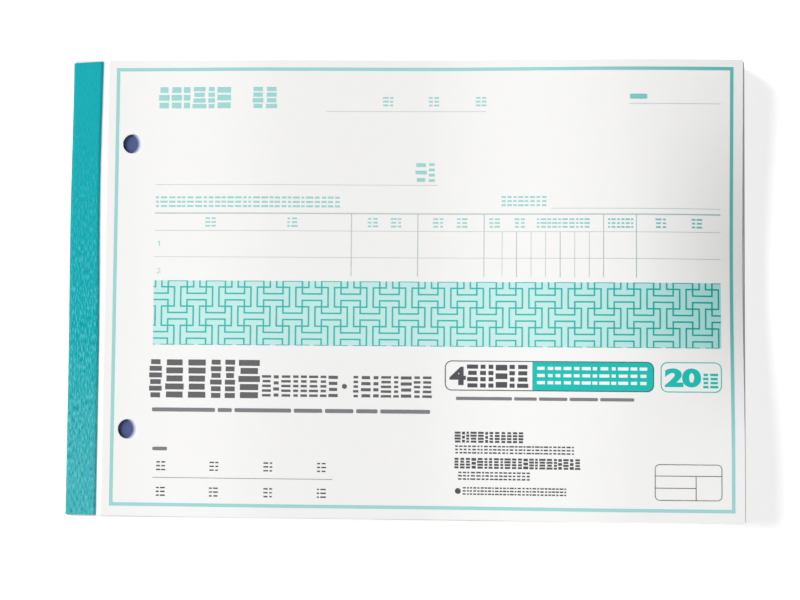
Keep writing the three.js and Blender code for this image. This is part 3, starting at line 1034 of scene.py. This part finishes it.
class SLIPBOOK_OT_cover_form(bpy.types.Operator):
    """Prints the frame and the upper part of the delivery form on the cover"""

    bl_idname = "slipbook.cover_form"
    bl_label = "Cover Form"

    def execute(self, context):
        sizes, colours = chosen(context)
        pale = ink_material("pale_turquoise_ink", colours.pale_ink, painted_shade=1.0)
        half = sizes.border_width / MM / 2
        border = InkSheet()
        border.ring(
            FRAME_LEFT - half, FRAME_RIGHT + half, FRAME_FOOT - half, FRAME_HEAD + half, 0.02, 2 * half)
        lay_on_cover(border, "printed_frame", pale)
        rules = InkSheet()
        form_rules(rules, TABLE_FOOT)
        lay_on_cover(rules, "printed_form_rules", ink_material("fine_rule_ink", colours.rule_ink, painted_shade=0.6))
        words = InkSheet()
        form_words(words, random.Random(sizes.seed))
        for number, foot in enumerate(NUMERAL_FEET, 1):
            row_numeral(words, number, foot)
        lay_on_cover(words, "printed_form_blocks", pale)
        return {"FINISHED"}


class SLIPBOOK_OT_lattice_band(bpy.types.Operator):
    """Prints the traditional band of interlocking I and H shapes across the cover"""

    bl_idname = "slipbook.lattice_band"
    bl_label = "Lattice Band"

    def execute(self, context):
        sizes, colours = chosen(context)
        tint = ink_material("lattice_tint", colours.lattice_tint, 0.08, painted_shade=0.45)
        ink = ink_material("lattice_line_ink", colours.lattice_ink, 0.08, painted_shade=1.0)
        ground = InkSheet()
        ground.rect(FORM_LEFT, FORM_RIGHT, BAND_FOOT, BAND_HEAD)
        lay_on_cover(ground, "lattice_ground", tint)

        unit = (BAND_HEAD - BAND_FOOT) / LATTICE_UNITS_HIGH
        period = unit * LATTICE_PERIOD
        start = FORM_LEFT + LATTICE_START * unit
        maker = new_piece("lattice_cells", lattice_cell(unit, sizes.lattice_line / MM))
        attach(maker, *lattice_tree(), {
            "Period": period, "Columns": math.ceil((FORM_RIGHT - start) / period),
            "Rows": math.ceil((BAND_HEAD - BAND_FOOT) / period), "Start": start, "Left": FORM_LEFT,
            "Right": FORM_RIGHT, "Foot": BAND_FOOT, "Head": BAND_HEAD, "Material": ink})
        lines = InkSheet()
        lines.take(maker)
        lay_on_cover(lines, "lattice_lines", ink, 2 * COVER_INK_LIFT)
        return {"FINISHED"}


class SLIPBOOK_OT_cover_notes(bpy.types.Operator):
    """Prints headings, notes, date lines and the empty number box on the lower half of the cover"""

    bl_idname = "slipbook.cover_notes"
    bl_label = "Cover Notes"

    def execute(self, context):
        sizes, colours = chosen(context)
        draw = random.Random(sizes.seed + 1)
        dark = ink_material("dark_grey_ink", colours.dark_ink)
        heading = InkSheet()
        heading.rows(draw, HEADING_BLOCKS)
        heading.rounded(*HEADING_POINT)
        lay_on_cover(heading, "printed_heading", ink_material("heading_grey_ink", colours.heading_ink))
        captions = InkSheet()
        for row in CAPTIONS:
            captions.word_bars(*row)
        lay_on_cover(captions, "printed_captions", ink_material("grey_tint_ink", colours.grey_ink))
        notes = InkSheet()
        notes.rows(draw, NOTE_BLOCKS)
        notes.rounded(*NOTE_POINT)
        lay_on_cover(notes, "printed_notes", dark)
        dates = InkSheet()
        for place in PERIOD_LABELS:
            for row in PERIOD_ROWS:
                dates.labels(draw, (place,), *row)
        dates.rule(*PERIOD_RULE, HAIRLINE)
        lay_on_cover(dates, "printed_date_lines", dark)
        box = InkSheet()
        left, right, foot, head = NUMBER_BOX
        upper, lower = NUMBER_BOX_ROWS
        box.ring(*NUMBER_BOX, NUMBER_BOX_RADIUS, NUMBER_BOX_LINE)
        box.rule(left, right, upper, NUMBER_BOX_LINE)
        box.rule(left, NUMBER_BOX_SPLIT, lower, NUMBER_BOX_LINE)
        box.upright(NUMBER_BOX_SPLIT, foot, upper, NUMBER_BOX_LINE)
        lay_on_cover(box, "printed_number_box", dark)
        return {"FINISHED"}


class SLIPBOOK_OT_cover_badges(bpy.types.Operator):
    """Prints the two rounded badges, one with the number of copies and one with the number of sets"""

    bl_idname = "slipbook.cover_badges"
    bl_label = "Cover Badges"

    def execute(self, context):
        sizes, colours = chosen(context)
        draw = random.Random(sizes.seed + 2)
        dark = bpy.data.materials["dark_grey_ink"]
        teal = ink_material("badge_teal_ink", colours.badge_ink, 0.03)
        reserve = ink_material("badge_white_reserve", colours.card, 0.0)
        inner_right = LONG_BADGE[1] - BADGE_LINE
        inner_foot, inner_head = BADGE_FOOT + BADGE_LINE, BADGE_HEAD - BADGE_LINE
        outline = InkSheet()
        outline.ring(*LONG_BADGE, BADGE_FOOT, BADGE_HEAD, BADGE_RADIUS, BADGE_LINE)
        outline.digits("4", *COPIES_NUMERAL)
        outline.blocks(draw, *COPIES_BLOCKS)
        lay_on_cover(outline, "badge_outline", dark)
        fill = InkSheet()
        fill.rounded(
            LONG_BADGE_SPLIT, inner_right, inner_foot, inner_head, BADGE_RADIUS - BADGE_LINE, "right")
        fill.ring(*SHORT_BADGE, BADGE_FOOT, BADGE_HEAD, BADGE_RADIUS, BADGE_LINE)
        fill.digits("20", *SETS_NUMERAL)
        fill.blocks(draw, *SETS_BLOCKS)
        lay_on_cover(fill, "badge_teal", teal)
        words = InkSheet()
        words.blocks(draw, *RESERVE_BLOCKS)
        lay_on_cover(words, "badge_reserve", reserve, 2 * COVER_INK_LIFT)
        return {"FINISHED"}


# Slits of the tear line, and how the sheets of a set lie
TEAR_LINE_MARGIN = 1.0
SLIT_WIDTH = 0.12
SLIT_SHARE = 0.55
STACK_SLACK = 0.07
SET_SEED_STEP = 11
UNBENT_STEP = 200.0

# The shield card keeps clear of the sheets above and below it, and has round corners and rubbed rims
SHIELD_CLEARANCE, SHIELD_CORNER, SHIELD_RIM = 0.01, 2.5, 0.07

# The board is thinner by this depth where the tape lies under it, and a little beyond
BOARD_REBATE, BOARD_REBATE_MARGIN = 0.19, 0.06

SLIP_GRID = leaf_grid(
    STUB_START, BOOK_END, HALF_WIDTH, SLIP_HOLE_PLACE, 12.0, 16.0, (*STEP_MARKS, 10.8))


def slip_top(number, thickness_left):
    """Height of one slip of the first set, from its stub to its place over the shield."""
    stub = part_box(f"slip_stub_{number}")[1].z / MM - thickness_left
    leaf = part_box(f"slip_{number}")[1].z / MM - thickness_left
    return lambda x, y: stepped(stub, leaf, x)


# Each copy of the form has an ink of its own. Its table goes on to here, with two more rows for the sums
SLIP_INKS = ((0.300, 0.640, 0.600), (0.300, 0.450, 0.760), (0.780, 0.380, 0.400), (0.560, 0.480, 0.330))
SLIP_TABLE_FOOT, SUM_RULE, SUM_FOOT = -42.0, -49.4, -56.8
SUM_BLOCKS = ((100.0, 113.5, -47.2, -44.4, 4, 3, 0.45), (100.0, 113.5, -54.6, -51.8, 4, 3, 0.45))
SLIP_TABLE_ROWS = 8
SLIP_RULES_HEAVIER = 1.1


def form_print(name, colour, height, seed):
    """A full form on one slip, in that copy's own ink, as two ink sheets."""
    material = ink_material(f"{name}_ink", colour)
    sum_columns = COLUMN_PLACES[1:4]
    rules = InkSheet()
    form_rules(rules, SLIP_TABLE_FOOT, SLIP_RULES_HEAVIER)
    rules.rule(FORM_LEFT, FORM_RIGHT, SLIP_TABLE_FOOT, STRONG_LINE)
    rules.rule(sum_columns[0], FORM_RIGHT, SUM_RULE, HAIRLINE)
    rules.rule(sum_columns[0], FORM_RIGHT, SUM_FOOT, STRONG_LINE)
    for place in (*sum_columns, FORM_RIGHT):
        rules.upright(place, SUM_FOOT, SLIP_TABLE_FOOT, FINE_LINE)
    words = InkSheet()
    draw = random.Random(seed)
    form_words(words, draw)
    for row in range(SLIP_TABLE_ROWS):
        row_numeral(words, row + 1, NUMERAL_FEET[0] - TABLE_ROW_DEPTH * row)
    words.rows(draw, SUM_BLOCKS)
    return [
        rules.lay(f"{name}_rules", material, height, SLIP_INK_LIFT),
        words.lay(f"{name}_blocks", material, height, SLIP_INK_LIFT),
    ]


def tear_slits(name, height):
    """One row of slits along the tear line, on a leaf of that height."""
    pitch = bpy.context.scene.slip_book_sizes.perforation_pitch / MM
    count = math.floor(2 * (HALF_WIDTH - TEAR_LINE_MARGIN) / pitch)
    start = -pitch * count / 2
    slit = InkSheet()
    slit.rounded(
        TEAR_LINE - SLIT_WIDTH / 2, TEAR_LINE + SLIT_WIDTH / 2, start, start + SLIT_SHARE * pitch, 0.055)
    maker = new_piece("slit", mesh_data(slit.mesh, "slit"))
    # Each slit is a flat dark shape laid on the leaf, painted shade of the cut
    material = bpy.data.materials.get("slit_shadow") or ink_material("slit_shadow", (0.36, 0.36, 0.37), 0.1)
    attach(maker, *slit_tree(material), {"Count": count, "Pitch": pitch})
    row = InkSheet()
    row.take(maker)
    return row.lay(name, material, height, SLIP_INK_LIFT)


class SLIPBOOK_OT_first_set(bpy.types.Operator):
    """Makes the four slips of the first set, each with its stub, tear line and form"""

    bl_idname = "slipbook.first_set"
    bl_label = "First Set"

    def execute(self, context):
        sizes, colours = chosen(context)
        paper = paper_material("carbonless_paper", colours.paper, 0.008, 0.6, colours.bruise)
        low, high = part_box("slip_1")
        spare = (high.z - low.z - sizes.sheet_thickness) / MM
        for number in range(1, SLIP_COUNT + 1):
            body, name = f"slip_{number}", f"carbonless_slip_{number}"
            top = slip_top(number, spare)
            data = leaf_mesh(name, *SLIP_GRID, SLIP_HOLE_PLACE, top, lambda x: sizes.sheet_thickness / MM)
            slip = new_piece(name, data, paper)
            bend_line(slip)
            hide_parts(body, f"slip_stub_{number}")
            ink = SLIP_INKS[(number - 1) % len(SLIP_INKS)]
            for piece in form_print(f"form_{number}", ink, top, sizes.seed):
                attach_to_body(piece, body)
            bend_line(tear_slits(f"tear_line_{number}", top))
        return {"FINISHED"}


class SLIPBOOK_OT_pad(bpy.types.Operator):
    """Makes the other sets as stacks of single sheets, and prints the sheet that lies on top"""

    bl_idname = "slipbook.pad"
    bl_label = "Pad of Sets"

    def execute(self, context):
        sizes = context.scene.slip_book_sizes
        paper = bpy.data.materials["carbonless_paper"]
        grid = leaf_grid(STUB_START, BOOK_END, HALF_WIDTH, SLIP_HOLE_PLACE, UNBENT_STEP, UNBENT_STEP)
        thickness = sizes.sheet_thickness / MM
        tree, names = stack_tree(paper)
        for index, node in enumerate(SET_NODES):
            low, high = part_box(node)
            name = f"{node}_sheets"
            data = leaf_mesh(name, *grid, SLIP_HOLE_PLACE, lambda x, y: thickness, lambda x: thickness)
            data.transform(Matrix.Translation((0.0, 0.0, low.z)))
            stack = new_piece(name, data, paper)
            attach(stack, tree, names, {
                "Count": SLIP_COUNT, "Pitch": (high.z - low.z) / (SLIP_COUNT - STACK_SLACK),
                "Stagger": sizes.stagger, "Skew": sizes.skew, "Seed": sizes.seed + SET_SEED_STEP * index})
            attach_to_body(stack, "pad")
            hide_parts(node)
        surface = max(v.co.z for v in bpy.data.objects[f"{SET_NODES[0]}_sheets"].data.vertices) / MM
        for piece in form_print("next_form", SLIP_INKS[0], lambda x, y: surface, sizes.seed):
            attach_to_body(piece, "pad")
        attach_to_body(tear_slits("next_tear_line", lambda x, y: surface), "pad")
        return {"FINISHED"}


def tape_path():
    """The tape's outer face from its front edge round the spine to the back: x, z and the way it faces."""
    top, bend = TAPE_HIGH.z / MM, TAPE_BEND
    turns = [math.pi / 2 * i / TAPE_TURN_STEPS for i in range(1, TAPE_TURN_STEPS + 1)]
    edge = TAPE_REACH - TAPE_PRESSED_WIDTH
    path = [(TAPE_REACH, top, 90.0), (edge, top, 90.0)]
    path += [(x, top, 90.0) for x in stations(bend, edge, TAPE_STEP)[-2::-1]]
    path += [(bend * (1 - math.sin(a)), top - bend * (1 - math.cos(a)), 90 + math.degrees(a)) for a in turns]
    path += [(0.0, z, 180.0) for z in stations(bend, top - bend, 0.9)[-2::-1]]
    path += [(bend * (1 - math.cos(a)), bend * (1 - math.sin(a)), 180 + math.degrees(a)) for a in turns]
    return path + [(x, 0.0, 270.0) for x in stations(bend, TAPE_REACH, TAPE_STEP)[1:]]


def tape_row(mesh, path, y, cut, fray):
    """One row of the tape's points across its width: outer and inner corner, and the way along the path."""
    row, travelled = [], 0.0
    for i, (x, z, angle) in enumerate(path):
        if i:
            travelled += math.hypot(x - path[i - 1][0], z - path[i - 1][1])
        share = x / TAPE_REACH
        shift = hump(y, *TAPE_NARROWED) * share + hump(y, *TAPE_BOWED) * (1.0 - share)
        if i in (0, len(path) - 1):
            shift += fray
        # The cut edge is pressed down, so the tape thins towards it
        drop = TAPE_PRESSED if i == 0 else 0.0
        end = (y - cut * (1.0 - share)) * MM
        out_x = TAPE_THICKNESS * math.cos(math.radians(angle))
        out_z = TAPE_THICKNESS * math.sin(math.radians(angle))
        outer = mesh.verts.new((SPINE + (x + shift) * MM, end, (z - drop) * MM))
        inner = mesh.verts.new((SPINE + (x + shift - out_x) * MM, end, (z - out_z) * MM))
        row.append((outer, inner, (travelled * MM, y * MM)))
    return row


class SLIPBOOK_OT_binding_tape(bpy.types.Operator):
    """Makes the cloth tape over the front, round the spine and under the back"""

    bl_idname = "slipbook.binding_tape"
    bl_label = "Binding Tape"

    def execute(self, context):
        colours = context.scene.slip_book_colours
        half_width = TAPE_HIGH.y / MM
        mesh = bmesh.new()
        layer = mesh.loops.layers.uv.new("sheet")
        path = tape_path()
        ys = stations(-half_width, half_width, 2.0)
        draw = random.Random(context.scene.slip_book_sizes.seed + 3)
        rows = []
        for y in ys:
            cut = TAPE_HEAD_CUT if y == ys[-1] else 0.0
            rows.append(tape_row(mesh, path, y, cut, draw.uniform(-TAPE_FRAY, TAPE_FRAY)))

        def face(corners, sides):
            made = mesh.faces.new([corner[side] for corner, side in zip(corners, sides)])
            for loop, corner in zip(made.loops, corners):
                loop[layer].uv = corner[2]

        over, under = 0, 1
        for a, b in zip(rows, rows[1:]):
            for i in range(len(path) - 1):
                face((a[i], b[i], b[i + 1], a[i + 1]), (over,) * 4)
                face((a[i + 1], b[i + 1], b[i], a[i]), (under,) * 4)
            for i in (0, len(path) - 1):
                face((a[i], a[i], b[i], b[i]), (over, under, under, over))
        for row in (rows[0], rows[-1]):
            for i in range(len(path) - 1):
                face((row[i], row[i + 1], row[i + 1], row[i]), (over, over, under, under))
        bmesh.ops.recalc_face_normals(mesh, faces=mesh.faces[:])
        tape = new_piece("cloth_tape", smooth_data(mesh, "cloth_tape", 50), tape_material(colours))
        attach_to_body(tape, "pad")
        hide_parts("binding_tape")
        return {"FINISHED"}


class SLIPBOOK_OT_back_board(bpy.types.Operator):
    """Makes the back board, thinned where the tape lies under it"""

    bl_idname = "slipbook.back_board"
    bl_label = "Back Board"

    def execute(self, context):
        colours = context.scene.slip_book_colours
        rebate_end = TAPE_REACH + BOARD_REBATE_MARGIN
        full = (BOARD_HIGH.z - BOARD_LOW.z) / MM
        grid = leaf_grid(
            STUB_START, BOOK_END, HALF_WIDTH, SLIP_HOLE_PLACE, UNBENT_STEP, UNBENT_STEP,
            (rebate_end, rebate_end + 0.02))
        data = leaf_mesh(
            "back_board", *grid, SLIP_HOLE_PLACE, lambda x, y: BOARD_HIGH.z / MM,
            lambda x: full - BOARD_REBATE if x <= rebate_end else full)
        board = new_piece("back_board", data, board_material(colours))
        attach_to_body(board, "pad")
        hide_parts("back_cover")
        return {"FINISHED"}


class SLIPBOOK_OT_writing_shield(bpy.types.Operator):
    """Makes the blue card under the first set, with rounded and rubbed corners"""

    bl_idname = "slipbook.writing_shield"
    bl_label = "Writing Shield"

    def execute(self, context):
        colours = context.scene.slip_book_colours
        left, right = SHIELD_LOW.x / MM, SHIELD_HIGH.x / MM
        foot, head = SHIELD_LOW.y / MM, SHIELD_HIGH.y / MM
        floor, top = SHIELD_LOW.z + SHIELD_CLEARANCE * MM, SHIELD_HIGH.z - SHIELD_CLEARANCE * MM
        mesh = bmesh.new()
        outline = rounded_outline(left, right, foot, head, SHIELD_CORNER)
        base = mesh.faces.new([mesh.verts.new((x * MM, y * MM, floor)) for x, y in outline])
        base.normal_flip()
        for vertex in extruded(mesh, [base]):
            vertex.co.z = top
        bmesh.ops.recalc_face_normals(mesh, faces=mesh.faces[:])
        rims = [edge for edge in mesh.edges if edge.calc_face_angle(0.0) > math.radians(60)]
        bmesh.ops.bevel(mesh, geom=rims, offset=SHIELD_RIM * MM, segments=2, affect="EDGES", profile=0.5)
        shield = new_piece("shield_card", mesh_data(mesh, "shield_card"), shield_material(colours))
        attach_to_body(shield, "writing_shield")
        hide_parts("writing_shield")
        return {"FINISHED"}


class SLIPBOOK_OT_staples(bpy.types.Operator):
    """Gives the two wire stitches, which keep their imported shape, their drawn steel"""

    bl_idname = "slipbook.staples"
    bl_label = "Wire Stitches"

    def execute(self, context):
        steel = wire_material()
        for name in ("staple_upper", "staple_lower"):
            data = frame["nodes"][name].data
            data.materials.clear()
            data.materials.append(steel)
        return {"FINISHED"}


# The photograph's view: a lens of 67.5 mm on a 36 mm frame, almost straight above the book
CAMERA_PLACE = Vector((13.5, -25.75, 423.4)) * MM
CAMERA_AIM = Vector((-1.1, -3.35, 7.0)) * MM
CAMERA_ROLL = math.radians(0.48)
CAMERA_LENS = 67.5

# The floor lies just clear of the board. Its own white grows between these distances from the book, in metres
FLOOR_REACH = 12.0
FLOOR_GAP = 0.0001
FLOOR_NEAR, FLOOR_FAR = 0.35, 1.6
FLOOR_NEAR_WHITE, FLOOR_FAR_WHITE = (0.58, 0.58, 0.58), (0.80, 0.80, 0.80)

# Lamps by name, place in metres, width in metres and power in watts, and the light of the room around
LAMPS = (("key", (-10.49, 3.40, 4.75), 9.0, 2900.0), ("fill", (0.70, -3.10, 1.30), 1.7, 40.0))
ROOM_LIGHT = 0.17


class SLIPBOOK_OT_stage(bpy.types.Operator):
    """Sets the pale floor, the soft lights and the camera"""

    bl_idname = "slipbook.stage"
    bl_label = "Stage"

    def execute(self, context):
        scene = context.scene
        scene.view_settings.view_transform = "Standard"
        mesh = bmesh.new()
        bmesh.ops.create_grid(mesh, x_segments=1, y_segments=1, size=FLOOR_REACH)
        bmesh.ops.translate(mesh, verts=mesh.verts[:], vec=(0.0, 0.0, -FLOOR_GAP))
        graph = Look("pale_floor")
        material = graph.coat((0.90, 0.90, 0.90, 1.0), 0.9, CARD_SHEEN)
        path = graph.node("ShaderNodeLightPath")
        seen = graph.maths("MAXIMUM", graph.out(path, "Is Camera Ray"), graph.out(path, "Is Glossy Ray"))
        length = graph.node("ShaderNodeVectorMath", {"operation": "LENGTH"}, {0: own_place(graph)})
        far = graph.ramp(graph.out(length, "Value"), FLOOR_NEAR, FLOOR_FAR)
        white = graph.mix(far, FLOOR_NEAR_WHITE, FLOOR_FAR_WHITE)
        graph.feed(graph.shader.inputs["Emission Color"], graph.mix(seen, (0.0, 0.0, 0.0), white))
        graph.shader.inputs["Emission Strength"].default_value = 1.0
        new_piece("floor", mesh_data(mesh, "floor"), material)

        world = bpy.data.worlds.new("studio")
        scene.world = world
        world.use_nodes = True
        room = Graph(world.node_tree)
        background = world.node_tree.nodes["Background"]
        background.inputs["Color"].default_value = (1.0, 1.0, 1.0, 1.0)
        camera_ray = room.out(room.node("ShaderNodeLightPath"), "Is Camera Ray")
        room.feed(background.inputs["Strength"], ROOM_LIGHT + camera_ray * (1.0 - ROOM_LIGHT))

        for name, place, size, power in LAMPS:
            light = bpy.data.lights.new(name, "AREA")
            light.shape = "DISK"
            light.size = size
            light.energy = power
            aim = (-Vector(place)).to_track_quat("-Z", "Y").to_matrix().to_4x4()
            self.put(scene, name, light, Matrix.Translation(place) @ aim)

        camera = bpy.data.cameras.new("camera")
        camera.lens = CAMERA_LENS
        camera.sensor_width = 36.0
        camera.clip_start = 0.01
        forward = (CAMERA_AIM - CAMERA_PLACE).normalized()
        right = forward.cross(Vector((0.0, 1.0, 0.0))).normalized()
        turned = Matrix((right, right.cross(forward), -forward)).transposed().to_4x4()
        roll = Matrix.Rotation(CAMERA_ROLL, 4, "Z")
        scene.camera = self.put(scene, "camera", camera, Matrix.Translation(CAMERA_PLACE) @ turned @ roll)
        return {"FINISHED"}

    @staticmethod
    def put(scene, name, data, matrix):
        holder = bpy.data.objects.new(name, data)
        scene.collection.objects.link(holder)
        holder.matrix_world = matrix
        return holder


OPERATORS = (
    SLIPBOOK_OT_front_cover, SLIPBOOK_OT_cover_form, SLIPBOOK_OT_lattice_band, SLIPBOOK_OT_cover_notes,
    SLIPBOOK_OT_cover_badges, SLIPBOOK_OT_first_set, SLIPBOOK_OT_pad, SLIPBOOK_OT_writing_shield,
    SLIPBOOK_OT_binding_tape, SLIPBOOK_OT_back_board, SLIPBOOK_OT_staples, SLIPBOOK_OT_stage,
)


class SLIPBOOK_PT_panel(bpy.types.Panel):
    """Lists the makers of the slip book's pieces"""

    bl_idname = "SLIPBOOK_PT_panel"
    bl_label = "Slip Book"
    bl_space_type = "VIEW_3D"
    bl_region_type = "UI"
    bl_category = "Slip Book"

    def draw(self, context):
        layout = self.layout
        for group in (context.scene.slip_book_sizes, context.scene.slip_book_colours):
            box = layout.box()
            for name in group.__annotations__:
                box.prop(group, name)
        for operator in OPERATORS:
            layout.operator(operator.bl_idname)


CLASSES = (BookSizes, BookColours, *OPERATORS, SLIPBOOK_PT_panel)


def register():
    for item in CLASSES:
        bpy.utils.register_class(item)
    bpy.types.Scene.slip_book_sizes = bpy.props.PointerProperty(type=BookSizes)
    bpy.types.Scene.slip_book_colours = bpy.props.PointerProperty(type=BookColours)


def unregister():
    del bpy.types.Scene.slip_book_colours
    del bpy.types.Scene.slip_book_sizes
    for item in reversed(CLASSES):
        bpy.utils.unregister_class(item)


def main():
    register()
    for operator in OPERATORS:
        group, name = operator.bl_idname.split(".")
        getattr(getattr(bpy.ops, group), name)()


if __name__ == "__main__":
    main()
